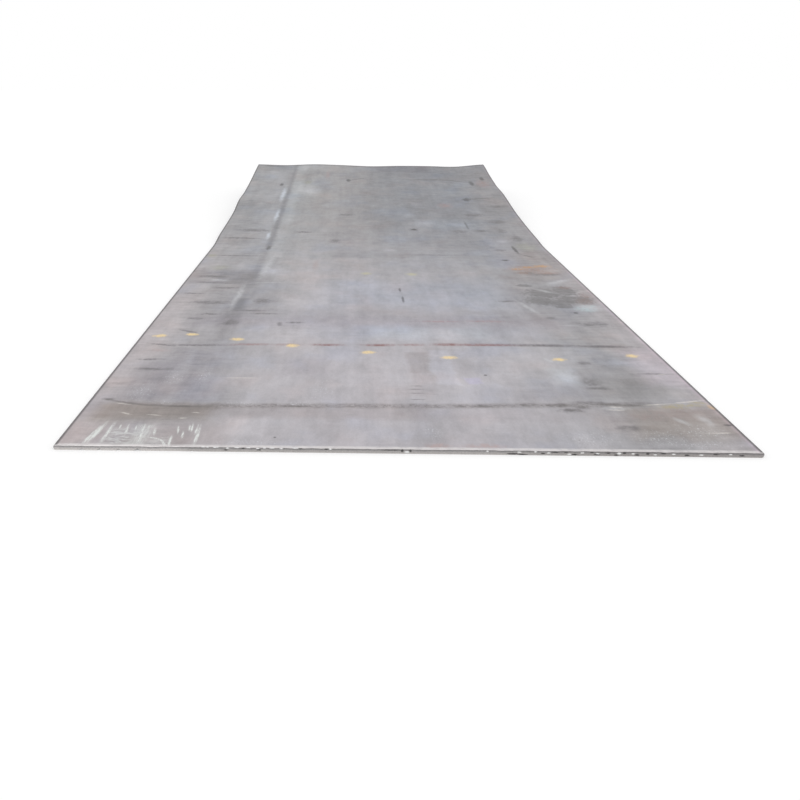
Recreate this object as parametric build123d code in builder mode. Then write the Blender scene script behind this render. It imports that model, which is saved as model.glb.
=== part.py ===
"""Wear plate: one piece of 12 mm abrasion-resistant steel plate, cut to length from a coil.

X runs across the plate, Y along it and Z up. The plate lies loose on a level floor, and the
coil's curve that is left in it lifts its far end. Millimetres.
"""
import os
from math import cos, pi, radians, sin, sqrt

from build123d import *

# The plate as it is sold. Its length is measured along the underside.
plate_width = 1500
plate_length = 4000
plate_thickness = 12

# Side view: flat from the front end, one long bend, then straight up to the far end.
flat_length = 2060
bend_length = 420
bend_angle = 4.8

# The long sides are left as rolled, so they bulge past the flat faces.
mill_edge_bulge = 4

# The ends are sheared. The blade rolls one edge over, wipes a band upright, and the rest
# breaks away with a lean that leaves the other edge standing out. The front end led the
# coil, so its top is rolled over. The far end trailed, so there it is the foot.
rollover_radius = 1.4
upright_share = 0.55
fracture_lean = 1
fracture_lip = 0.4

# The far end waves across: its height above the plain line, from left corner to right.
far_end_lift = [10, 5, 11, 6, -1, 2, 1, -2, 13]
far_end_wave_length = 600

# The long edges wave past the flat stretch: each crest or trough as its distance from
# where the bend starts and its height above the plain line.
left_edge_wave = [(0, 0), (240, 12), (680, 2), (910, 13), (1190, 1), (1440, 0)]
right_edge_wave = [(0, 0), (210, 6), (720, -2), (1120, 4), (1390, -4), (1690, -5), (1920, 0)]
wavy_edge_width = 450

# Chips broken out of the foot of the front end, near its left corner, each as
# distance from the corner, width and height.
foot_chips = [(60, 30, 4), (99, 20, 6), (140, 20, 5.5), (181, 38, 5.5), (242, 8, 3.5), (297, 10, 4)]

# Past the flat stretch a section is drawn at each station.
station_spacing = 60
cutter_margin = 10

half_width = plate_width / 2
bend_radius = bend_length / radians(bend_angle)
rising_length = plate_length - flat_length - bend_length
reach = (
    flat_length
    + bend_radius * sin(radians(bend_angle))
    + rising_length * cos(radians(bend_angle))
)
front_end = -(reach - fracture_lean) / 2
fracture_height = (1 - upright_share) * plate_thickness
face_half_width = half_width - mill_edge_bulge
mill_edge_radius = (plate_thickness**2 / 4 + mill_edge_bulge**2) / (2 * mill_edge_bulge)


def eased(share):
    """Ramp from 0 to 1 that starts and ends level."""
    share = min(max(share, 0), 1)
    return (1 - cos(pi * share)) / 2


def wave(turns, distance):
    """Lift at a distance past the flat stretch, eased from each crest or trough to the next."""
    for (start, low), (end, high) in zip(turns, turns[1:]):
        if start <= distance - flat_length <= end:
            return low + (high - low) * eased((distance - flat_length - start) / (end - start))
    return 0


def lift(place, across, distance):
    """How far the plate stands off its plain line, at one place across it."""
    end_share = eased(1 - (plate_length - distance) / far_end_wave_length)
    left_share = eased(1 - (half_width + across) / wavy_edge_width)
    right_share = eased(1 - (half_width - across) / wavy_edge_width)
    return (
        far_end_lift[place] * end_share
        + wave(left_edge_wave, distance) * left_share
        + wave(right_edge_wave, distance) * right_share
    )


def station(distance):
    """Plane square across the plate, its origin on the underside's middle line."""
    turned = radians(bend_angle) * min(max(distance - flat_length, 0), bend_length) / bend_length
    risen = max(distance - flat_length - bend_length, 0)
    along = min(distance, flat_length) + bend_radius * sin(turned) + risen * cos(turned)
    up = bend_radius * (1 - cos(turned)) + risen * sin(turned)
    return Plane(
        origin=(0, front_end + along, up),
        x_dir=(1, 0, 0),
        z_dir=(0, -cos(turned), -sin(turned)),
    )


def mill_edge(height):
    """Half width of the plate at a height on its bulged long sides."""
    bulge = sqrt(mill_edge_radius**2 - (height - plate_thickness / 2) ** 2)
    return half_width - mill_edge_radius + bulge


def plate_section(distance, foot=0):
    """Section across the plate from a height on it, the foot, up to its top face."""
    last = len(far_end_lift) - 1
    middle = (foot + plate_thickness) / 2

    def line_across(height):
        points = []
        for place in range(last + 1):
            across = mill_edge(height) * (2 * place / last - 1)
            points.append((across, height + lift(place, across, distance)))
        return points

    under, centre, over = (line_across(height) for height in (foot, middle, plate_thickness))
    with BuildSketch(station(distance)) as section:
        with BuildLine():
            Spline(*under)
            ThreePointArc(under[-1], centre[-1], over[-1])
            Spline(*reversed(over))
            ThreePointArc(over[0], centre[0], under[0])
        make_face()
    return section.sketch


with BuildPart() as wear_plate:
    # The flat stretch is one straight run of the rolled section.
    with BuildSketch(station(flat_length)):
        with BuildLine():
            Line((-face_half_width, 0), (face_half_width, 0))
            ThreePointArc(
                (face_half_width, 0),
                (half_width, plate_thickness / 2),
                (face_half_width, plate_thickness),
            )
            Line((face_half_width, plate_thickness), (-face_half_width, plate_thickness))
            ThreePointArc(
                (-face_half_width, plate_thickness),
                (-half_width, plate_thickness / 2),
                (-face_half_width, 0),
            )
        make_face()
    extrude(amount=flat_length + fracture_lean)

    # Beyond it the section is carried round the bend and up to the far end.
    carried_length = plate_length - rollover_radius - flat_length
    steps = round(carried_length / station_spacing)
    loft([plate_section(flat_length + carried_length * step / steps) for step in range(steps + 1)])

    # The far end's rolled-over foot, then the lip that its fracture leaves at the top.
    rolled = [radians(angle) for angle in (0, 30, 60, 90)]
    loft(
        [
            plate_section(
                plate_length - rollover_radius * (1 - sin(turn)),
                rollover_radius * (1 - cos(turn)),
            )
            for turn in rolled
        ],
        ruled=True,
    )
    loft(
        [
            plate_section(plate_length, plate_thickness - fracture_height),
            plate_section(plate_length + fracture_lean, plate_thickness - fracture_lip),
        ],
        ruled=True,
    )

    # The shear's mark on the front end.
    with BuildSketch(Plane.YZ):
        with BuildLine():
            foot = (front_end - fracture_lean, 0)
            Line(foot, (front_end, fracture_height))
            Line((front_end, fracture_height), (front_end, plate_thickness - rollover_radius))
            RadiusArc(
                (front_end, plate_thickness - rollover_radius),
                (front_end + rollover_radius, plate_thickness),
                rollover_radius,
            )
            Polyline(
                (front_end + rollover_radius, plate_thickness),
                (front_end + rollover_radius, plate_thickness + cutter_margin),
                (front_end - cutter_margin, plate_thickness + cutter_margin),
                (front_end - cutter_margin, 0),
                foot,
            )
        make_face()
    extrude(amount=half_width + cutter_margin, both=True, mode=Mode.SUBTRACT)

    # The chips run up to a point in the end face and scoop out the underside behind it.
    for from_corner, chip_width, chip_height in foot_chips:
        with Locations((from_corner - half_width, front_end - fracture_lean, 0)):
            Cone(
                chip_width / 2,
                0,
                chip_height,
                align=(Align.CENTER, Align.CENTER, Align.MIN),
                mode=Mode.SUBTRACT,
            )

wear_plate.part.label = "wear_plate"

os.makedirs("parts", exist_ok=True)
export_step(wear_plate.part, "parts/wear_plate.step")

box = wear_plate.part.bounding_box()
print("solids", len(wear_plate.part.solids()), "valid", wear_plate.part.is_valid)
print("volume", wear_plate.part.volume, "of", plate_width * plate_length * plate_thickness)
print("box", box.min, box.max)
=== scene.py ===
"""A steel wear plate, cut from its coil and lying on a pale floor. Metres."""
from math import cos, hypot, pi, radians, sin, sqrt

import bmesh
import bpy
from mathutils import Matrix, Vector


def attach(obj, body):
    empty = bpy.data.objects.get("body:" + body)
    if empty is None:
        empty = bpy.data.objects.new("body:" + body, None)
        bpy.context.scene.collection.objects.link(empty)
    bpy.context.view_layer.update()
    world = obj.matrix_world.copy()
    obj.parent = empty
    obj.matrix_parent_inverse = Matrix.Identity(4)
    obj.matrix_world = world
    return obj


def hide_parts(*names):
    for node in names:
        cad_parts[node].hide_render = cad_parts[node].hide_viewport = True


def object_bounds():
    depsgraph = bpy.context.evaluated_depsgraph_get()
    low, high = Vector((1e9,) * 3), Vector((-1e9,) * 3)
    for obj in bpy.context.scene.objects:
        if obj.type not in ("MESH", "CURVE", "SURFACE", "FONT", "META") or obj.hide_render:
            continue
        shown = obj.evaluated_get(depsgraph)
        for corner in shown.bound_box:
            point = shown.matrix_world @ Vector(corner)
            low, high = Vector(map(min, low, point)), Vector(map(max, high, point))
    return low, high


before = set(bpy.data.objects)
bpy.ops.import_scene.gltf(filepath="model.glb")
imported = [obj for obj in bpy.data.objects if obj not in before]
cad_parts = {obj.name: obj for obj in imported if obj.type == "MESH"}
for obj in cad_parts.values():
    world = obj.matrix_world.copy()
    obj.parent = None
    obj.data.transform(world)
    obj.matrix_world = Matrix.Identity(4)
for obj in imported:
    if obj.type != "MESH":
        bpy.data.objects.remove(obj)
cad_low, cad_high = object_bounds()

# The camera stands in front of the short end at about hip height above the plate, and looks
# down along it.
fracture_lean = 0.001
front_end = cad_low.y + fracture_lean
camera_data = bpy.data.cameras.new("camera")
camera_data.lens = 35.84
camera_data.sensor_width = 36
camera_data.shift_x = 0.0847
camera_data.clip_start = 0.01
camera = bpy.data.objects.new("camera", camera_data)
camera.location = (-0.1154, front_end - 1.5163, 0.7501)
camera.rotation_euler = (radians(90 - 22.519), 0, radians(1.458))
bpy.context.scene.collection.objects.link(camera)
bpy.context.scene.camera = camera

# The plate is one piece of abrasion-resistant steel, hot rolled to 12 mm and coiled. Its long
# sides are the mill's rounded edges, and both ends are sheared. It is modelled flat, with its
# front end at y = 0, and then takes the set that the coil left in it.
plate_thickness = 0.012
plate_length = 4.0
half_width = cad_high.x
rollover_radius = 0.0014
fracture_height = 0.45 * plate_thickness
fracture_lip = 0.0004
mill_edge_bulge = 0.004
mill_edge_radius = (plate_thickness**2 / 4 + mill_edge_bulge**2) / (2 * mill_edge_bulge)
close = 0.0001

bpy.ops.object.select_all(action="DESELECT")
bpy.ops.mesh.primitive_cube_add(
    size=1,
    location=(0, plate_length / 2, plate_thickness / 2),
    scale=(2 * half_width, plate_length, plate_thickness),
)
plate = bpy.context.object
plate.name = "rolled_plate"
bpy.ops.object.transform_apply(location=True, rotation=False, scale=True)


def cut_plate(place, square_to):
    """Cut every face of the plate along one plane."""
    bpy.ops.mesh.select_all(action="SELECT")
    bpy.ops.mesh.bisect(plane_co=place, plane_no=square_to)


def pick_corners(test):
    """Select the plate's corners that pass a test."""
    shape = bmesh.from_edit_mesh(plate.data)
    for corner in shape.verts:
        corner.select = bool(test(corner.co))
    shape.select_flush_mode()
    bmesh.update_edit_mesh(plate.data)


bpy.ops.object.mode_set(mode="EDIT")
bpy.ops.mesh.select_mode(type="VERT")
levels = [0, rollover_radius, fracture_height]
levels += [plate_thickness - level for level in reversed(levels)]
for level in levels[1:-1]:
    cut_plate((0, 0, level), (0, 0, 1))
for row in (rollover_radius, plate_length - rollover_radius):
    cut_plate((0, row, 0), (0, 1, 0))

# The long sides bulge between the two faces.
for level in levels:
    inset = mill_edge_radius - sqrt(mill_edge_radius**2 - (level - plate_thickness / 2) ** 2)
    pick_corners(lambda at: abs(at.z - level) < close and abs(at.x) > half_width - close)
    bpy.ops.transform.resize(value=(1 - inset / half_width, 1, 1), center_override=(0, 0, 0))

# The shear rolls the front end's top edge over, and the far end's foot. The other edge of each
# end breaks away with a lean.
rounding = rollover_radius * (1 - cos(pi / 4))
pick_corners(lambda at: at.y < close and at.z > plate_thickness - close)
bpy.ops.transform.translate(value=(0, rounding, -rounding))
pick_corners(lambda at: at.y > plate_length - close and at.z < close)
bpy.ops.transform.translate(value=(0, -rounding, rounding))
pick_corners(lambda at: at.y < close and at.z < close)
bpy.ops.transform.translate(value=(0, -fracture_lean, 0))
pick_corners(lambda at: at.y > plate_length - close and at.z > plate_thickness - close)
bpy.ops.transform.translate(value=(0, fracture_lean, -fracture_lip))
bpy.ops.object.mode_set(mode="OBJECT")

# Chips broken out of the front end's foot, each as distance from the left corner, width and
# height.
foot_chips = [
    (0.060, 0.030, 0.004),
    (0.099, 0.020, 0.006),
    (0.140, 0.020, 0.0055),
    (0.181, 0.038, 0.0055),
    (0.242, 0.008, 0.0035),
    (0.297, 0.010, 0.004),
]
for from_corner, chip_width, chip_height in foot_chips:
    bpy.ops.mesh.primitive_cone_add(
        vertices=14,
        radius1=chip_width / 2,
        radius2=0,
        depth=2 * chip_height,
        location=(from_corner - half_width, -fracture_lean, 0),
    )
    cutter = bpy.context.object
    bpy.context.view_layer.objects.active = plate
    chip = plate.modifiers.new("chip", "BOOLEAN")
    chip.object = cutter
    bpy.ops.object.modifier_apply(modifier=chip.name)
    bpy.data.objects.remove(cutter)

# Rows and columns for the creases and waves: each row spacing with the distance it runs to.
column_spacing = 0.0125
row_spacings = [(0.20, 0.02), (0.32, 0.006), (0.64, 0.02), (0.74, 0.006), (plate_length, 0.026)]
plate.select_set(True)
bpy.ops.object.mode_set(mode="EDIT")
for column in range(1, round(2 * half_width / column_spacing)):
    cut_plate((column * column_spacing - half_width, 0, 0), (1, 0, 0))
row = 0
for limit, spacing in row_spacings:
    while row < limit - spacing / 2:
        row += spacing
        cut_plate((0, row, 0), (0, 1, 0))
bpy.ops.object.mode_set(mode="OBJECT")

# Uncoiling leaves creases across the top face. Each is a line of places: distance from the
# middle, then from the front end, in mm.
front_crease = [
    (-750, 272),
    (-705, 254),
    (-600, 222),
    (-300, 226),
    (150, 233),
    (300, 240),
    (500, 249),
    (650, 264),
    (750, 286),
]
middle_crease = [
    (-750, 690),
    (-700, 683),
    (-606, 665),
    (-405, 680),
    (-15, 683),
    (150, 692),
    (750, 680),
]


def along(line, across):
    """Where a line drawn across the plate stands, at one distance from the middle."""
    for (left, start), (right, end) in zip(line, line[1:]):
        if left <= across <= right:
            return start + (end - start) * (across - left) / (right - left)
    return line[-1][1]


def is_on_crease(at, line):
    """Tell whether a corner is on the top face and within reach of a crease."""
    return at.z > plate_thickness - close and abs(at.y * 1000 - along(line, at.x * 1000)) < 3.2


bpy.ops.object.mode_set(mode="EDIT")
for line, depth in ((front_crease, 0.0006), (middle_crease, 0.0003)):
    pick_corners(lambda at: is_on_crease(at, line))
    bpy.ops.transform.translate(
        value=(0, 0, -depth),
        use_proportional_edit=True,
        use_proportional_connected=True,
        proportional_edit_falloff="SMOOTH",
        proportional_size=0.012,
    )
bpy.ops.object.mode_set(mode="OBJECT")

# Each corner keeps its place on the flat plate, for the finishes to follow.
flat_places = [value for corner in plate.data.vertices for value in corner.co]
flat_place = plate.data.attributes.new("flat_place", "FLOAT_VECTOR", "POINT")
flat_place.data.foreach_set("vector", flat_places)

# The set: flat from the front end, one long bend, then straight up to the far end.
flat_length = 2.06
bend_length = 0.42
bend_angle = radians(4.8)
bend_radius = bend_length / bend_angle

# The far end waves across, and the long edges wave past the flat stretch, each crest or trough
# as its distance from where the bend starts and its height.
far_end_lift = [0.010, 0.005, 0.011, 0.006, -0.001, 0.002, 0.001, -0.002, 0.013]
far_end_wave_length = 0.6
left_edge_wave = [(0, 0), (0.24, 0.012), (0.68, 0.002), (0.91, 0.013), (1.19, 0.001), (1.44, 0)]
right_edge_wave = [
    (0, 0),
    (0.21, 0.006),
    (0.72, -0.002),
    (1.12, 0.004),
    (1.39, -0.004),
    (1.69, -0.005),
    (1.92, 0),
]
wavy_edge_width = 0.45


def eased(share):
    """Ramp from 0 to 1 that starts and ends level."""
    return (1 - cos(pi * min(max(share, 0), 1))) / 2


def wave(turns, distance):
    """Height past the flat stretch, eased from each crest or trough to the next."""
    for (start, low), (end, high) in zip(turns, turns[1:]):
        if start <= distance - flat_length <= end:
            return low + (high - low) * eased((distance - flat_length - start) / (end - start))
    return 0


def far_end_height(across):
    """Height of the far end's wave, on a smooth curve through the listed heights."""
    place = (across / half_width + 1) / 2 * (len(far_end_lift) - 1)
    step = min(max(int(place), 0), len(far_end_lift) - 2)
    rest = place - step
    before = far_end_lift[max(step - 1, 0)]
    start, end = far_end_lift[step : step + 2]
    after = far_end_lift[min(step + 2, len(far_end_lift) - 1)]
    swing = (end - before) / 2 * (1 - rest) * rest * (1 - rest)
    swing -= (after - start) / 2 * rest * rest * (1 - rest)
    return start + (end - start) * rest**2 * (3 - 2 * rest) + swing


def settled(flat):
    """Where a place on the flat plate lies once the plate has taken its set."""
    turned = bend_angle * min(max(flat.y - flat_length, 0), bend_length) / bend_length
    risen = max(flat.y - flat_length - bend_length, 0)
    height = flat.z
    height += far_end_height(flat.x) * eased(1 - (plate_length - flat.y) / far_end_wave_length)
    height += wave(left_edge_wave, flat.y) * eased(1 - (half_width + flat.x) / wavy_edge_width)
    height += wave(right_edge_wave, flat.y) * eased(1 - (half_width - flat.x) / wavy_edge_width)
    run = min(flat.y, flat_length) + bend_radius * sin(turned) + risen * cos(turned)
    rise = bend_radius * (1 - cos(turned)) + risen * sin(turned)
    return flat.x, front_end + run - height * sin(turned), rise + height * cos(turned)


for corner in plate.data.vertices:
    corner.co = settled(corner.co)
bpy.ops.object.shade_smooth_by_angle(angle=radians(30))


# Mill scale is the blue-grey oxide skin that hot rolling leaves on both faces. It is banded
# along the plate, smeared across it in handling, and here and there it is stained or rusty.
def start_material(name):
    """A new material down to its shader, and its node tree."""
    material = bpy.data.materials.new(name)
    material.use_nodes = True
    return material, material.node_tree


def node(kind, *inputs, output=0, **settings):
    """Add a node to the tree in hand, its inputs set or joined in the order of its sockets."""
    made = tree.nodes.new("ShaderNode" + kind)
    for name, setting in settings.items():
        setattr(made, name, setting)
    for socket, value in zip(made.inputs, inputs):
        if isinstance(value, bpy.types.NodeSocket):
            tree.links.new(value, socket)
        elif value is not None:
            socket.default_value = value
    return made.outputs[output]


def maths(operation, *values):
    """Arithmetic on numbers."""
    return node("Math", *values, operation=operation)


def vectors(operation, *values):
    """Arithmetic on places."""
    output = 1 if operation in ("LENGTH", "DOT_PRODUCT") else 0
    return node("VectorMath", *values, output=output, operation=operation)


def ramp(value, nothing, full):
    """Smooth step from 0, where the value is nothing, to 1, where it is full."""
    return node("MapRange", value, nothing, full, 0.0, 1.0, interpolation_type="SMOOTHSTEP")


def screen(red, green, blue):
    """A colour given as a screen shows it, in steps of 255."""
    shares = [step / 255 for step in (red, green, blue)]
    return [((share + 0.055) / 1.055) ** 2.4 for share in shares] + [1]


def mix(share, under, over, blend_type="MIX"):
    """One colour over another, by a share from 0 to 1."""
    made = tree.nodes.new("ShaderNodeMix")
    made.data_type = "RGBA"
    made.blend_type = blend_type
    for socket, value in ((0, share), (6, under), (7, over)):
        if isinstance(value, bpy.types.NodeSocket):
            tree.links.new(value, made.inputs[socket])
        else:
            made.inputs[socket].default_value = value
    return made.outputs[2]


# What one screen step does to the light of a mid grey.
light_a_step = 0.0125


def tinted(share, under, red, green, blue):
    """A colour made so many screen steps lighter or darker, by a share from 0 to 1."""
    lift = [1 + light_a_step * steps for steps in (red, green, blue)] + [1]
    return mix(share, under, lift, "MULTIPLY")


def flat_place_in_mm():
    """Place on the flat plate: from the middle, from the front end, and height."""
    place = node("Attribute", output=1, attribute_name="flat_place")
    return vectors("MULTIPLY", place, (1000, 1000, 1000))


def noise(place, across, lengthwise, detail=2.0, roughness=0.5, shift=0):
    """Noise from 0 to 1, in patches about so many mm across the plate and along it."""
    size = (1 / across, 1 / lengthwise, 1 / across)
    scaled = vectors("MULTIPLY_ADD", place, size, (shift, 1.7 * shift, 0))
    return node("TexNoise", scaled, None, 1.0, detail, roughness)


def shaken(place, size, reach, shift=0):
    """The place, moved by up to the reach, so that what is drawn there has a ragged outline."""
    scaled = vectors("MULTIPLY_ADD", place, (1 / size,) * 3, (shift,) * 3)
    shake = node("TexNoise", scaled, None, 1.0, 3.0, 0.6, output=1)
    shake = node("CombineXYZ", *node("SeparateColor", shake).node.outputs)
    centred = vectors("SUBTRACT", shake, (0.5, 0.5, 0.5))
    return vectors("MULTIPLY_ADD", centred, (2 * reach,) * 3, place)


def shades(distance, stops):
    """Greys that follow each other smoothly, each as its distance in mm and its screen colour."""
    first, last = stops[0][0], stops[-1][0]
    share = node("MapRange", distance, float(first), float(last), 0.0, 1.0)
    made = node("ValToRGB", share).node
    made.color_ramp.interpolation = "B_SPLINE"
    elements = made.color_ramp.elements
    while len(elements) < len(stops):
        elements.new(0.5)
    for element, (at, shade) in zip(elements, stops):
        element.position = (at - first) / (last - first)
        element.color = screen(*shade)
    return made.outputs[0]


def marks(place, spots, soft=0.7):
    """1 inside any spot, fading to 0 at its outline. A spot is its middle across and along the
    plate, then its half width and half length, in mm."""
    nearest = 9.0
    for across, lengthwise, half_across, half_length in spots:
        size = (1 / half_across, 1 / half_length, 0)
        middle = (-across / half_across, -lengthwise / half_length, 0)
        reach = vectors("LENGTH", vectors("MULTIPLY_ADD", place, size, middle))
        nearest = maths("MINIMUM", reach, nearest)
    return ramp(maths("ADD", nearest, outline), 1 + soft / 2, 1 - soft)


def strokes(place, lines, soft=0.6):
    """1 along any line, fading to 0 beside it and at its ends. A line is its two ends and its
    half breadth."""
    nearest = 9.0
    for start_x, start_y, end_x, end_y, half_breadth in lines:
        run_x, run_y = end_x - start_x, end_y - start_y
        length = hypot(run_x, run_y)
        reach = length * (length / 2 + half_breadth)
        middle = ((start_x + end_x) / 2, (start_y + end_y) / 2, 0)
        off = vectors("SUBTRACT", place, middle)
        forward = vectors("DOT_PRODUCT", off, (run_x / reach, run_y / reach, 0))
        beside = (-run_y / length / half_breadth, run_x / length / half_breadth, 0)
        sideways = vectors("DOT_PRODUCT", off, beside)
        off = vectors("LENGTH", node("CombineXYZ", forward, sideways, 0.0))
        nearest = maths("MINIMUM", off, nearest)
    return ramp(maths("ADD", nearest, outline), 1 + soft / 2, 1 - soft)


def strip(place, left, right, front, back, blur):
    """1 inside a rectangle on the plate, fading to 0 over the blur, in mm."""
    middle = ((left + right) / 2, (front + back) / 2, 0)
    half = ((right - left) / 2, (back - front) / 2, 0)
    off = vectors("SUBTRACT", vectors("ABSOLUTE", vectors("SUBTRACT", place, middle)), half)
    parts = node("SeparateXYZ", off).node
    return ramp(maths("MAXIMUM", parts.outputs[0], parts.outputs[1]), float(blur), -float(blur))


def crease_mark(place, line, half_breadth):
    """1 on a line drawn across the plate, fading to 0 within its half breadth."""
    side = 1000 * half_width
    parts = node("SeparateXYZ", place).node
    share = node("MapRange", parts.outputs[0], -side, side, 0.0, 1.0)
    curve = node("FloatCurve", 1.0, share).node
    points = curve.mapping.curves[0].points
    spots = [((across + side) / (2 * side), lengthwise / 1000) for across, lengthwise in line]
    points[0].location, points[-1].location = spots[0], spots[-1]
    for spot in spots[1:-1]:
        points.new(*spot)
    curve.mapping.update()
    stands = maths("MULTIPLY", curve.outputs[0], 1000.0)
    off = maths("ABSOLUTE", maths("SUBTRACT", parts.outputs[1], stands))
    return ramp(off, half_breadth, half_breadth * 0.2)


scale, tree = start_material("mill scale")
place = flat_place_in_mm()
parts = node("SeparateXYZ", place).node
across, lengthwise, height = parts.outputs
off_middle = maths("ABSOLUTE", across)
rough_outline = noise(place, 12, 24, 4.0, 0.65, shift=15)
outline = maths("MULTIPLY_ADD", rough_outline, 1.5, -0.75)
near = shaken(place, 40, 8)
broad = shaken(near, 130, 26, shift=9)
fine = shaken(place, 6, 2, shift=3)

# The tone across the plate, near the front end and towards the far end.
near_tone = shades(across, [
    (-750, (178, 171, 174)),
    (-690, (178, 172, 174)),
    (-600, (160, 157, 160)),
    (-480, (163, 160, 164)),
    (-400, (174, 171, 175)),
    (-180, (182, 178, 183)),
    (-60, (182, 178, 183)),
    (60, (174, 171, 176)),
    (200, (179, 175, 180)),
    (430, (170, 168, 172)),
    (530, (155, 153, 156)),
    (620, (159, 157, 160)),
    (690, (172, 168, 171)),
    (750, (178, 171, 174)),
])
far_tone = shades(across, [
    (-750, (148, 147, 149)),
    (-650, (155, 155, 158)),
    (-530, (154, 154, 158)),
    (-490, (146, 146, 149)),
    (-430, (158, 158, 160)),
    (-300, (151, 149, 150)),
    (-60, (147, 145, 147)),
    (60, (134, 135, 139)),
    (300, (132, 133, 138)),
    (500, (134, 135, 140)),
    (620, (137, 136, 139)),
    (750, (143, 141, 143)),
])
steel = mix(ramp(lengthwise, 500.0, 3000.0), near_tone, far_tone)

# Bands along the plate, then mottling from broad to fine, and smears across the plate that come
# and go in patches.
comes_and_goes = ramp(noise(near, 120, 220, 3.0, shift=17), 0.42, 0.62)
sides = ramp(off_middle, 430.0, 540.0)
textures = [
    (noise(place, 95, 4000, 2.0, shift=5), 0.32),
    (noise(place, 26, 900, 3.0, shift=9), 0.18),
    (noise(near, 150, 260, 4.0, 0.58, shift=2), 0.56),
    (noise(near, 44, 120, 4.0, 0.62, shift=12), 0.36),
    (noise(place, 15, 42, 3.0, 0.62, shift=6), 0.24),
    (noise(place, 4, 10, 2.0, 0.6, shift=7), 0.20),
]
light = 1.0
for texture, strength in textures:
    light = maths("ADD", light, maths("MULTIPLY_ADD", texture, strength, -strength / 2))
smear_reach = maths("MULTIPLY_ADD", sides, 0.35, maths("MULTIPLY", comes_and_goes, 0.30))
cross_smears = maths("SUBTRACT", noise(near, 90, 22, 4.0, 0.65, shift=19), 0.51)
light = maths("ADD", light, maths("MULTIPLY", cross_smears, smear_reach))
steel = mix(1.0, steel, node("CombineColor", light, light, light), "MULTIPLY")
warmth = noise(near, 190, 240, 3.0, 0.55, shift=33)
steel = tinted(ramp(warmth, 0.5, 0.72), steel, 4, 0, -2)
steel = tinted(ramp(warmth, 0.5, 0.28), steel, -4, -1, 4)
plain_steel = steel

# Broad patches of another shade, each as left, right, front, back and blur in mm, and how many
# screen steps lighter or darker its red, green and blue are.
patches = [
    (-750, -380, 0, 120, 40, 4, 0, -2),
    (-750, 60, 150, 228, 20, -8, -10, -11),
    (40, 750, 150, 232, 24, -3, -4, -4),
    (-715, -440, 130, 236, 26, -12, -14, -18),
    (-690, -590, 240, 520, 34, -13, -13, -11),
    (-620, -470, 250, 640, 40, -5, -5, -3),
    (-545, -440, 250, 420, 34, 2, 4, 8),
    (-400, -310, 60, 150, 26, 12, 12, 12),
    (520, 750, 60, 236, 34, -9, -12, -17),
    (475, 640, 300, 560, 40, -9, -9, -9),
    (500, 700, 290, 430, 40, -8, -8, -9),
    (640, 740, 380, 660, 30, 10, 8, 12),
    (38, 96, 460, 620, 9, -10, -12, -13),
    (46, 92, 300, 460, 12, -5, -6, -6),
    (102, 158, 370, 640, 9, 8, 10, 13),
    (177, 220, 385, 425, 8, 1, 0, 12),
    (300, 470, 260, 345, 40, -7, -8, -8),
    (-160, 280, 350, 450, 40, 7, 7, 7),
    (-300, -190, 430, 560, 40, -6, -7, -6),
    (410, 470, 390, 500, 20, 6, 9, 9),
    (-60, 300, 740, 860, 40, 5, 8, 8),
    (-230, 480, 735, 870, 60, -2, 0, 3),
    (-620, 560, 850, 960, 45, -9, -10, -8),
    (-560, 660, 940, 1060, 45, -9, -9, -8),
    (-600, -380, 1050, 1560, 60, -9, -9, -9),
    (420, 500, 1080, 1350, 30, -8, -9, -9),
    (-200, 430, 1080, 1420, 90, -4, 0, 5),
    (-745, -480, 1380, 1620, 40, -13, -14, -14),
    (500, 740, 1440, 2000, 60, -4, -7, -9),
    (490, 610, 1640, 2250, 40, 9, 9, 11),
    (-190, -80, 1850, 2250, 40, -7, -7, -6),
    (-300, 600, 1850, 1930, 35, -7, -6, -6),
    (220, 530, 2430, 2620, 40, 6, 9, 11),
    (360, 620, 3120, 3500, 70, 6, 7, 7),
    (-480, -340, 3120, 3480, 60, 10, 11, 11),
    (60, 700, 3640, 4000, 110, -8, -8, -8),
    (-690, -470, 3820, 4000, 40, -13, -13, -13),
    (-450, -220, 3800, 4000, 40, 9, 9, 9),
    (20, 380, 3800, 4000, 40, -11, -12, -10),
    (-478, -424, 1850, 3990, 12, 7, 8, 8),
]
tint = (1, 1, 1)
for left, right, front, back, blur, red, green, blue in patches:
    share = strip(broad, left, right, front, back, blur)
    steps = vectors("SCALE", (red, green, blue), None, None, share)
    tint = vectors("MULTIPLY_ADD", steps, (light_a_step,) * 3, tint)
tint = node("CombineColor", *node("SeparateXYZ", tint).node.outputs)
steel = mix(1.0, steel, tint, "MULTIPLY")

# Small patches that stayed light.
light_patches = [
    (-626, 1440, 34, 15),
    (-420, 1580, 56, 70),
    (-261, 2907, 26, 44),
    (-147, 3019, 24, 40),
    (-2, 2911, 24, 30),
    (50, 2006, 28, 26),
    (180, 2709, 34, 40),
    (228, 2929, 30, 60),
    (246, 2546, 64, 50),
    (416, 2523, 70, 34),
    (580, 2195, 30, 34),
    (-371, 3280, 54, 90),
    (454, 430, 30, 46),
    (612, 545, 60, 26),
    (690, 1090, 40, 34),
    (600, 890, 60, 12),
]
steel = tinted(marks(near, light_patches, 1.1), steel, 17, 18, 20)

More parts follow.
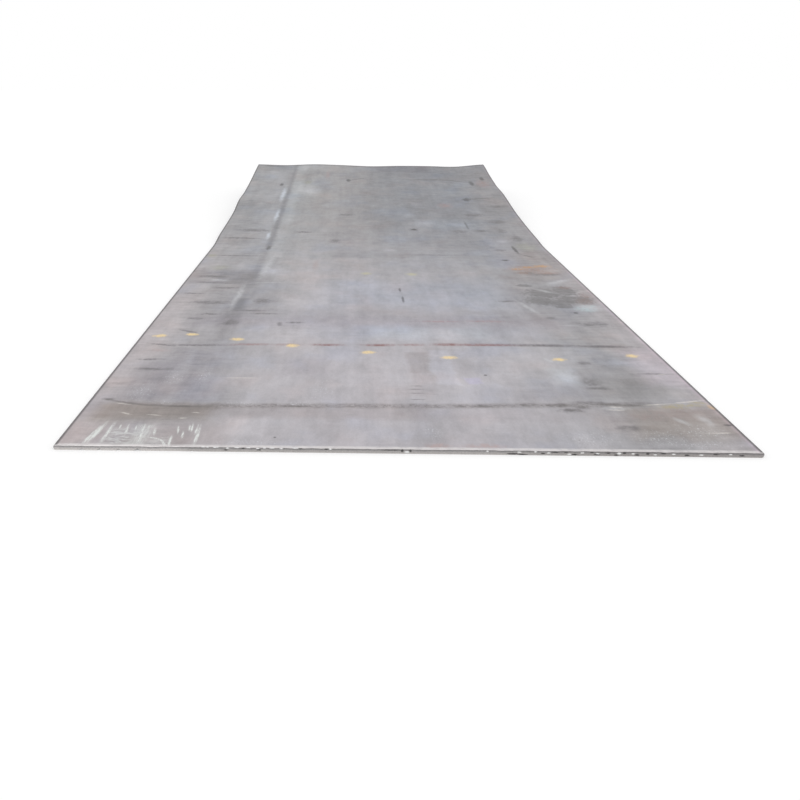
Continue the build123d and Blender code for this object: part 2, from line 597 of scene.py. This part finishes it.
# Soft dark smears, where the scale is rubbed or oily.
smears = [
    (-648, 468, 60, 11),
    (-672, 545, 44, 8),
    (-614, 934, 28, 11),
    (-584, 988, 36, 12),
    (-498, 896, 26, 34),
    (-400, 995, 50, 11),
    (-456, 1032, 64, 7),
    (-341, 884, 11, 24),
    (-294, 899, 30, 11),
    (-424, 1152, 34, 40),
    (-600, 1130, 84, 24),
    (-688, 1246, 40, 12),
    (-574, 1326, 60, 14),
    (-654, 1406, 58, 11),
    (-544, 1390, 54, 10),
    (-660, 1502, 60, 20),
    (-616, 1872, 112, 12),
    (-588, 2370, 84, 34),
    (-640, 2214, 92, 12),
    (-196, 2190, 30, 44),
    (-150, 2710, 44, 20),
    (-354, 2368, 44, 18),
    (-617, 3955, 70, 16),
    (517, 542, 20, 17),
    (498, 400, 26, 34),
    (504, 357, 36, 12),
    (676, 463, 54, 9),
    (505, 116, 30, 14),
    (404, 212, 30, 14),
    (455, 264, 40, 10),
    (422, 1167, 46, 11),
    (524, 970, 18, 20),
    (640, 900, 66, 30),
    (580, 1583, 34, 28),
    (640, 1565, 62, 24),
    (526, 1811, 20, 18),
    (537, 2010, 28, 26),
    (184, 2425, 26, 26),
    (403, 2390, 36, 28),
    (506, 2398, 40, 24),
    (610, 2390, 24, 40),
    (613, 2574, 50, 40),
    (524, 2718, 52, 34),
    (664, 2897, 48, 34),
    (654, 2239, 28, 60),
    (380, 3578, 190, 22),
    (242, 1907, 110, 9),
]
dark = marks(near, smears, 0.8)
broken = ramp(noise(place, 22, 16, 4.0, 0.68, shift=11), 0.30, 0.62)
dark = maths("MULTIPLY", dark, maths("MULTIPLY_ADD", broken, 0.55, 0.22))
steel = mix(dark, steel, screen(104, 101, 103))

# Small dark spots and dashes.
spots = [
    (58, 1314, 5, 30),
    (62, 1179, 5, 44),
    (236, 443, 5, 6),
    (-280, 48, 4, 5),
    (-491, 2036, 12, 44),
    (525, 1812, 14, 12),
    (185, 2430, 16, 16),
    (519, 3052, 26, 40),
    (604, 3491, 16, 66),
    (684, 3622, 14, 54),
    (-144, 3548, 14, 40),
    (-546, 3426, 12, 44),
    (620, 1030, 8, 12),
    (735, 138, 13, 6),
    (606, 2030, 8, 70),
]
black = marks(fine, spots, 0.6)
steel = mix(maths("MULTIPLY", black, 0.66), steel, screen(66, 64, 66))
thin_lines = [
    (-640, 814, -590, 788, 8),
    (606, 2101, 605, 1942, 9),
    (605, 1942, 655, 1868, 8),
    (-704, 682, -626, 661, 7),
    (34, 361, 70, 362, 3),
    (27, 338, 66, 339, 3),
    (30, 312, 68, 313, 3),
    (30, 271, 62, 272, 3),
    (-144, 3548, -40, 3622, 10),
    (474, 3572, 599, 3508, 12),
    (519, 3060, 665, 3087, 11),
    (450, 2598, 454, 2425, 6),
]
thin = maths("MULTIPLY", strokes(fine, thin_lines), 0.5)
steel = mix(thin, steel, screen(90, 88, 89))

# The oily stain by the right edge, with what shows through it.
stain_parts = [
    (540, 1180, 56, 66),
    (598, 1150, 56, 56),
    (572, 1275, 74, 74),
    (650, 1310, 50, 76),
    (688, 1190, 34, 56),
    (640, 1200, 52, 60),
    (520, 1385, 32, 22),
    (600, 1100, 36, 20),
]
stain = maths("MULTIPLY", marks(near, stain_parts, 0.5), maths("MULTIPLY_ADD", broken, 0.3, 0.55))
steel = mix(stain, steel, screen(110, 108, 109))

# Rust and other stains, each as colour, spots and strength.
stains = [
    ((196, 150, 96), [(547, 1652, 30, 18), (600, 1684, 42, 18), (655, 1706, 38, 24)], 0.8),
    ((150, 112, 92), [(645, 1590, 54, 30), (600, 1640, 90, 60), (560, 1590, 34, 34)], 0.5),
    ((132, 100, 88), [(690, 1175, 34, 44), (704, 1240, 24, 50), (660, 1360, 30, 24)], 0.45),
    ((172, 160, 118), [(684, 250, 50, 12), (650, 240, 40, 12), (716, 266, 24, 10)], 0.6),
    ((214, 180, 118), [(739, 240, 9, 14)], 0.8),
    ((158, 136, 134), [(640, 200, 90, 40), (570, 180, 50, 30)], 0.3),
    ((160, 128, 122), [(385, 2918, 40, 60), (672, 3476, 44, 110)], 0.5),
    ((160, 126, 126), [(162, 922, 62, 10), (312, 928, 62, 10)], 0.6),
    ((150, 150, 126), [(-390, 3490, 26, 54), (664, 2077, 50, 80), (-649, 1650, 40, 50)], 0.45),
    ((160, 156, 120), [(-718, 1870, 22, 30)], 0.5),
    ((178, 192, 196), [(668, 1075, 38, 36), (690, 1112, 30, 16)], 0.8),
    ((182, 154, 150), [(70, 15, 26, 12), (170, 15, 46, 11)], 0.6),
    ((166, 142, 140), [(-265, 1710, 14, 100), (-275, 3700, 16, 120), (-661, 623, 30, 14)], 0.45),
]
flecked = ramp(noise(place, 9, 16, 4.0, 0.7, shift=21), 0.30, 0.58)
for shade, spots, strength in stains:
    share = maths("MULTIPLY", marks(near, spots, 0.9), maths("MULTIPLY", flecked, strength))
    steel = mix(share, steel, screen(*shade))

# The front crease: a thin dark line at the left, then a band of fine pits with darker blotches,
# brown at the right, where it ends in a pale scratch.
pits = ramp(noise(place, 8, 7, 3.0, 0.65, shift=31), 0.44, 0.60)
line_stretch = strip(near, -715, -440, 0, 600, 12)
crease_line = maths("MULTIPLY", crease_mark(near, front_crease, 9.0), line_stretch)
shaded_stretch = strip(near, -470, 590, 0, 600, 60)
crease_shade = maths("MULTIPLY", crease_mark(near, front_crease, 24.0), shaded_stretch)
steel = tinted(crease_shade, steel, -9, -10, -11)
pitted_stretch = strip(near, -470, 590, 0, 600, 40)
crease_band = maths("MULTIPLY", crease_mark(near, front_crease, 19.0), pitted_stretch)
crease = maths("MULTIPLY", crease_band, maths("MULTIPLY_ADD", pits, 0.42, 0.12))
crease = maths("MAXIMUM", crease, maths("MULTIPLY", crease_line, 0.5))
steel = mix(crease, steel, screen(104, 100, 99))
blotches = [
    (144, 234, 13, 9),
    (199, 235, 26, 10),
    (299, 243, 9, 10),
    (358, 244, 8, 9),
    (388, 244, 22, 11),
    (404, 216, 20, 10),
    (432, 232, 20, 12),
    (548, 248, 44, 8),
    (500, 254, 30, 9),
    (-704, 256, 16, 9),
    (-520, 217, 34, 7),
    (-250, 224, 38, 7),
]
steel = mix(maths("MULTIPLY", marks(fine, blotches, 0.9), 0.55), steel, screen(92, 88, 86))

# Pale scratches and rubbed places, broad and soft, then bluish painted highlights, then fine and
# sharp scratches.
soft_scratches = [
    (-519, 1060, -516, 1350, 11),
    (619, 1413, 703, 1479, 18),
    (560, 1330, 604, 1286, 13),
    (456, 1167, 494, 1026, 9),
    (-468, 1500, -453, 1860, 16),
    (631, 167, 645, 143, 9),
    (687, 187, 696, 142, 12),
    (418, 575, 432, 556, 7),
    (-591, 1382, -331, 1424, 5),
    (490, 228, 530, 226, 12),
    (-645, 1448, -608, 1440, 12),
]
soft_scratch = strokes(near, soft_scratches, 1.0)
soft_scratch = maths("MULTIPLY", soft_scratch, maths("MULTIPLY_ADD", flecked, 0.22, 0.3))
steel = mix(soft_scratch, steel, screen(200, 201, 204))
# Bluish white painted highlights along a line left of the middle, standing in for the sky's
# reflection in the scale.
painted_highlights = [
    (-515, 3000, -515, 3330, 15),
    (-511, 2570, -511, 2790, 12),
    (-516, 2215, -516, 2335, 11),
]
steel = mix(maths("MULTIPLY", strokes(near, painted_highlights, 0.9), 0.62), steel, screen(207, 214, 224))
sharp_scratches = [
    (577, 248, 652, 263, 3),
    (652, 263, 735, 284, 4),
    (-653, 177, -627, 165, 3),
    (-583, 165, -554, 160, 3),
    (-679, 232, -643, 223, 2.5),
    (-483, 180, -470, 178, 3),
    (-454, 406, -355, 408, 3),
    (497, 237, 524, 236, 3.5),
    (492, 219, 524, 218, 3.5),
    (667, 94, 725, 96, 3),
    (690, 461, 708, 461, 3),
    (-506, 146, -496, 147, 4),
]
sharp_scratch = strokes(fine, sharp_scratches, 0.8)
sharp_scratch = maths("MULTIPLY", sharp_scratch, maths("MULTIPLY_ADD", flecked, 0.3, 0.38))
steel = mix(sharp_scratch, steel, screen(218, 212, 206))

# The middle crease: dark at both ends, and rusty between. Each part is its colour, spots and
# strength.
rusty = [
    (168, 690, 44, 34),
    (272, 688, 110, 20),
    (-35, 683, 46, 18),
    (-185, 680, 46, 16),
]
faintly_rusty = [
    (-405, 681, 70, 18),
    (-300, 680, 40, 16),
    (60, 688, 40, 18),
]
darkened = [
    (450, 692, 120, 30),
    (610, 684, 90, 26),
    (-560, 672, 90, 14),
]
middle_parts = [
    ((132, 92, 88), rusty, 1.0),
    ((150, 122, 120), faintly_rusty, 0.8),
    ((106, 102, 105), darkened, 1.0),
]
middle_line = crease_mark(fine, middle_crease, 19.0)
for shade, spots, strength in middle_parts:
    share = maths("MULTIPLY", marks(near, spots, 1.0), middle_line)
    uneven = maths("MULTIPLY_ADD", flecked, 0.4 * strength, 0.5 * strength)
    steel = mix(maths("MULTIPLY", share, uneven), steel, screen(*shade))

# Lengthwise, left of the middle, a thin dark line runs back to the far end.
dark_line_parts = [
    (-503, -481, 2060, 4000, 12, 0.34),
    (-500, -484, 1180, 2060, 12, 0.14),
    (-510, -480, 1040, 1180, 14, 0.55),
]
for left, right, front, back, blur, strength in dark_line_parts:
    dark_line_share = maths("MULTIPLY", strip(near, left, right, front, back, blur), strength)
    steel = mix(dark_line_share, steel, screen(98, 98, 103))

# White flecks and dark pits near the front end, and light specks elsewhere.
fleck = ramp(noise(place, 4, 9, 2.0, 0.65, shift=45), 0.56, 0.70)
fleck_zones = [
    (-575, 410, 34, 60),
    (-500, 420, 24, 56),
    (69, 79, 22, 34),
    (403, 52, 64, 46),
    (561, 60, 64, 44),
    (655, 96, 60, 44),
    (640, 32, 90, 26),
    (-190, 330, 30, 70),
    (-350, 22, 120, 16),
    (-640, 310, 40, 60),
    (-568, 240, 34, 15),
    (-380, 240, 60, 13),
    (-240, 238, 60, 12),
    (146, 358, 7, 8),
    (-136, 1066, 20, 9),
]
fleck_zone = marks(near, fleck_zones, 1.0)
flecks = maths("MULTIPLY", fleck_zone, maths("MULTIPLY_ADD", fleck, 0.62, 0.06))
steel = mix(flecks, steel, screen(216, 218, 224))
pitted = ramp(noise(place, 4, 9, 2.0, 0.65, shift=47), 0.56, 0.70)
pitted = maths("MULTIPLY", maths("MULTIPLY", fleck_zone, ramp(lengthwise, 300.0, 200.0)), pitted)
steel = mix(maths("MULTIPLY", pitted, 0.35), steel, screen(96, 92, 92))

# Chalk marks by the left front corner, brushed on in strokes along the plate.
chalk_lines = [
    (-668, 114, -682, 2, 6),
    (-675, 98, -690, 0, 5),
    (-649, 112, -652, 4, 5),
    (-632, 105, -630, 82, 2),
    (-615, 107, -609, 50, 3),
    (-596, 103, -594, 82, 2),
    (-578, 104, -570, 6, 4),
    (-551, 91, -545, 49, 3),
    (-556, 43, -533, 36, 3),
    (-533, 36, -517, 20, 3.5),
    (-519, 22, -510, 0, 4),
    (-506, 46, -503, 0, 4),
    (-501, 100, -495, 62, 2.5),
    (-485, 76, -482, 42, 3),
    (-477, 110, -473, 80, 2.5),
    (-471, 113, -467, 72, 3),
    (-458, 109, -457, 60, 2.5),
    (-452, 104, -449, 2, 4),
]
hairs = ramp(noise(place, 2.6, 22, 3.0, 0.7, shift=51), 0.36, 0.58)
chalk = maths("MULTIPLY", strokes(fine, chalk_lines, 0.7), maths("MULTIPLY_ADD", hairs, 0.6, 0.3))
brushed = strip(near, -590, -556, 0, 106, 12)
faint_chalk = maths("MULTIPLY", brushed, maths("MULTIPLY_ADD", hairs, 0.4, 0.1))
scribbles = ramp(noise(near, 26, 6, 3.0, 0.7, shift=53), 0.44, 0.60)
scribbled = [
    (-650, -560, 2, 88, 14, 0.45),
    (-552, -510, 2, 50, 10, 0.35),
]
for left, right, front, back, blur, strength in scribbled:
    patch = strip(near, left, right, front, back, blur)
    patch = maths("MULTIPLY", patch, maths("MULTIPLY", scribbles, strength))
    faint_chalk = maths("MAXIMUM", faint_chalk, patch)
steel = mix(maths("MAXIMUM", chalk, faint_chalk), steel, screen(226, 230, 227))

# Dabs of yellow marking paint, and two older, worn ones.
dabs = [
    (-690, 754, 21, 15),
    (-598, 770, 20, 13),
    (-455, 727, 20, 15),
    (-287, 672, 19, 17),
    (-69, 618, 21, 14),
    (156, 580, 21, 15),
    (457, 571, 19, 13),
    (668, 606, 17, 16),
]
paint = maths("MULTIPLY", marks(fine, dabs, 0.6), maths("MULTIPLY_ADD", hairs, 0.3, 0.62))
steel = mix(paint, steel, screen(236, 210, 154))
old_dabs = [(-60, 1562, 22, 22), (118, 1552, 22, 26)]
steel = mix(maths("MULTIPLY", marks(fine, old_dabs, 0.9), 0.6), steel, screen(190, 186, 146))

# The marks are on the top face. Along the front its edge is light, from wear and a painted
# highlight. It is lighter just inside the right edge, dark along the long sides, and darker over
# its last few cm at the far end.
is_top = ramp(height, 9.0, 11.5)
steel = mix(is_top, plain_steel, steel)
# A light band along the front edge: wear, and a painted highlight where the edge catches the
# light.
front_wear_and_highlight = ramp(lengthwise, 11.0, 4.0)
front_wear_and_highlight = maths("MULTIPLY", front_wear_and_highlight, maths("MULTIPLY_ADD", broken, 0.5, 0.45))
steel = mix(maths("MULTIPLY", front_wear_and_highlight, is_top), steel, screen(216, 212, 212))
inner_rim = maths("MULTIPLY", ramp(off_middle, 730.0, 737.0), ramp(off_middle, 744.0, 738.0))
steel = tinted(maths("MULTIPLY", inner_rim, ramp(across, 0.0, 100.0)), steel, 10, 5, 9)
side_rim = ramp(off_middle, 738.0, 743.5)
side_rim = maths("MAXIMUM", side_rim, maths("MULTIPLY", ramp(lengthwise, 3958.0, 3978.0), 0.7))
steel = mix(maths("MULTIPLY", side_rim, 0.8), steel, screen(88, 85, 86))

shader = tree.nodes["Principled BSDF"]
tree.links.new(steel, shader.inputs["Base Color"])
shader.inputs["Specular IOR Level"].default_value = 0.25
gloss = noise(near, 60, 40, 3.0, shift=61)
tree.links.new(maths("MULTIPLY_ADD", gloss, 0.35, 0.36), shader.inputs["Roughness"])
relief = maths("MULTIPLY", noise(place, 5, 7, 4.0, 0.6, shift=71), 0.5)
relief = maths("ADD", relief, maths("MULTIPLY", noise(place, 60, 50, 3.0, shift=81), 1.5))
bump = tree.nodes.new("ShaderNodeBump")
bump.inputs["Strength"].default_value = 0.3
bump.inputs["Distance"].default_value = 0.0005
tree.links.new(relief, bump.inputs["Height"])
tree.links.new(bump.outputs[0], shader.inputs["Normal"])
plate.data.materials.append(scale)

# The ends are bare sheared steel, pale and grainy where the steel broke away. Above the break the
# burnished band carries a painted reflection of dark ground, then a band of painted shade, and
# the rolled-over edge is light from wear and a painted highlight.
bare, tree = start_material("sheared steel")
place = flat_place_in_mm()
parts = node("SeparateXYZ", place).node
is_far = maths("GREATER_THAN", parts.outputs[1], 1000 * plate_length / 2)
from_foot = maths("SUBTRACT", 1000 * plate_thickness, parts.outputs[2])
from_break = node("Mix", is_far, None, parts.outputs[2], from_foot)
wander = maths("MULTIPLY_ADD", noise(place, 24, 24, 3.0, 0.6), 3.4, -1.7)
level = maths("ADD", from_break, wander)
# Above the break, the burnished band darkens in a painted reflection of dark ground, and higher
# up lies a band of painted shade.
burnish_dark_reflection = ramp(level, 4.4, 6.2)
shadowed = ramp(level, 7.2, 8.6)
# The rolled-over edge is light: wear, and a painted highlight.
rollover_wear_and_highlight = ramp(level, 9.5, 10.4)
torn = noise(place, 2.2, 1.6, 3.0, 0.7, shift=5)
streaky = noise(place, 3.5, 30, 3.0, 0.6, shift=8)
steel = mix(torn, screen(140, 136, 135), screen(206, 202, 200))
steel = mix(burnish_dark_reflection, steel, mix(streaky, screen(118, 115, 116), screen(178, 175, 175)))
steel = mix(shadowed, steel, mix(streaky, screen(92, 89, 90), screen(152, 149, 149)))
steel = mix(rollover_wear_and_highlight, steel, screen(218, 214, 214))
left_end = ramp(parts.outputs[0], -440.0, -500.0)
steel = tinted(left_end, steel, 22, 22, 22)
# Darker towards the right, except along the rolled-over edge.
worn = ramp(parts.outputs[0], 120.0, 460.0)
steel = tinted(maths("SUBTRACT", worn, maths("MULTIPLY", rollover_wear_and_highlight, 0.7)), steel, -17, -18, -18)

# Nicks along the front end, each as distance from the middle, height and half size.
outline = maths("MULTIPLY_ADD", noise(place, 3, 3, 3.0, 0.6, shift=15), 1.2, -0.6)
upright = node("CombineXYZ", parts.outputs[0], parts.outputs[2], 0.0)
bright_nicks = [
    (-428, 10.6, 4, 1.4),
    (-419, 10.4, 3, 1.3),
    (-403, 10.2, 4, 1.6),
    (-397, 10.6, 3, 1.3),
    (-356, 10.0, 6, 1.3),
    (-331, 9.8, 5, 1.4),
    (-298, 9.6, 4, 1.4),
    (-282, 9.6, 6, 1.3),
    (-232, 10.0, 8, 1.4),
    (-158, 8.6, 3, 1.6),
    (4, 4.0, 5, 2.4),
    (173, 7.6, 3, 1.6),
    (274, 7.6, 3, 1.6),
    (345, 3.0, 5, 1.6),
    (404, 5.0, 4, 1.6),
    (449, 6.0, 5, 2.4),
    (-376, 8.2, 4, 1.4),
    (-312, 8.0, 4, 1.3),
    (-262, 8.4, 4, 1.3),
    (240, 6.4, 4, 1.6),
    (302, 5.4, 4, 1.5),
    (372, 6.2, 4, 1.5),
    (478, 5.6, 4, 1.6),
    (524, 4.0, 4, 1.5),
    (562, 5.6, 4, 1.5),
    (620, 4.4, 5, 1.5),
    (680, 6.2, 4, 1.5),
]
dark_nicks = [
    (-343, 8.4, 4, 1.8),
    (-222, 8.8, 6, 1.6),
    (-166, 8.4, 5, 1.8),
    (-6, 7.0, 3, 3.6),
    (11, 7.0, 3, 3.6),
    (226, 2.6, 14, 1.8),
    (246, 1.6, 12, 1.6),
    (315, 7.6, 9, 1.8),
    (356, 2.4, 8, 1.8),
    (392, 7.6, 5, 1.6),
    (402, 3.0, 7, 1.6),
    (443, 2.4, 5, 1.6),
    (460, 7.0, 4, 2.2),
    (508, 6.0, 4, 2.4),
    (-30, 8.0, 22, 1.2),
    (-380, 4.0, 6, 1.6),
    (-310, 5.0, 5, 1.6),
    (290, 4.0, 5, 1.8),
    (338, 6.4, 5, 1.4),
    (426, 6.4, 5, 1.6),
    (486, 3.0, 5, 1.8),
    (540, 6.8, 6, 1.6),
    (590, 3.4, 6, 1.8),
    (650, 6.0, 7, 1.6),
    (704, 4.0, 6, 1.8),
]
is_front = maths("SUBTRACT", 1.0, is_far)
for nicks, shade in ((dark_nicks, (64, 62, 62)), (bright_nicks, (238, 238, 238))):
    nicked = maths("MULTIPLY", marks(upright, nicks, 0.5), is_front)
    steel = mix(nicked, steel, screen(*shade))

shader = tree.nodes["Principled BSDF"]
tree.links.new(steel, shader.inputs["Base Color"])
shader.inputs["Roughness"].default_value = 0.5
shader.inputs["Metallic"].default_value = 0.2
bump = tree.nodes.new("ShaderNodeBump")
bump.inputs["Strength"].default_value = 0.4
bump.inputs["Distance"].default_value = 0.0004
tree.links.new(torn, bump.inputs["Height"])
tree.links.new(bump.outputs[0], shader.inputs["Normal"])
plate.data.materials.append(bare)
for face in plate.data.polygons:
    if abs(face.normal.y) > 0.5:
        face.material_index = 1

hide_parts("wear_plate")
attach(plate, "root")

# A pale matt floor, as wide as the eye reaches. Seen straight or in a gloss it is white.
bpy.ops.mesh.primitive_plane_add(size=60, location=(0, 0, 0))
floor = bpy.context.object
floor.name = "floor"
white, tree = start_material("white floor")
tree.nodes.clear()
white_strength = 0.23


def seen_directly():
    """1 where the eye, a gloss or glass looks at a thing, and 0 where it only gives light."""
    rays = node("LightPath").node.outputs
    indirect = maths("MAXIMUM", rays["Is Glossy Ray"], rays["Is Transmission Ray"])
    return maths("MAXIMUM", rays["Is Camera Ray"], indirect)


matt = node("BsdfDiffuse", (0.8, 0.8, 0.8, 1))
glow = node("Emission", (1, 1, 1, 1), maths("MULTIPLY", seen_directly(), white_strength))
surface = node("AddShader", matt, glow)
tree.links.new(surface, tree.nodes.new("ShaderNodeOutputMaterial").inputs[0])
floor.data.materials.append(white)

# Soft daylight from all round, and a broad weak sun from behind the right shoulder.
world = bpy.data.worlds.new("studio")
bpy.context.scene.world = world
world.use_nodes = True
tree = world.node_tree
tree.nodes.clear()
strength = maths("MULTIPLY_ADD", seen_directly(), 0.2, 0.8)
sky = node("Background", (1, 1, 1, 1), strength)
tree.links.new(sky, tree.nodes.new("ShaderNodeOutputWorld").inputs[0])
sun = bpy.data.lights.new("sun", "SUN")
sun.energy = 0.7
sun.angle = radians(40)
sun_object = bpy.data.objects.new("sun", sun)
sun_object.rotation_euler = (radians(28), radians(-20), 0)
bpy.context.scene.collection.objects.link(sun_object)

bpy.context.scene.view_settings.view_transform = "Standard"
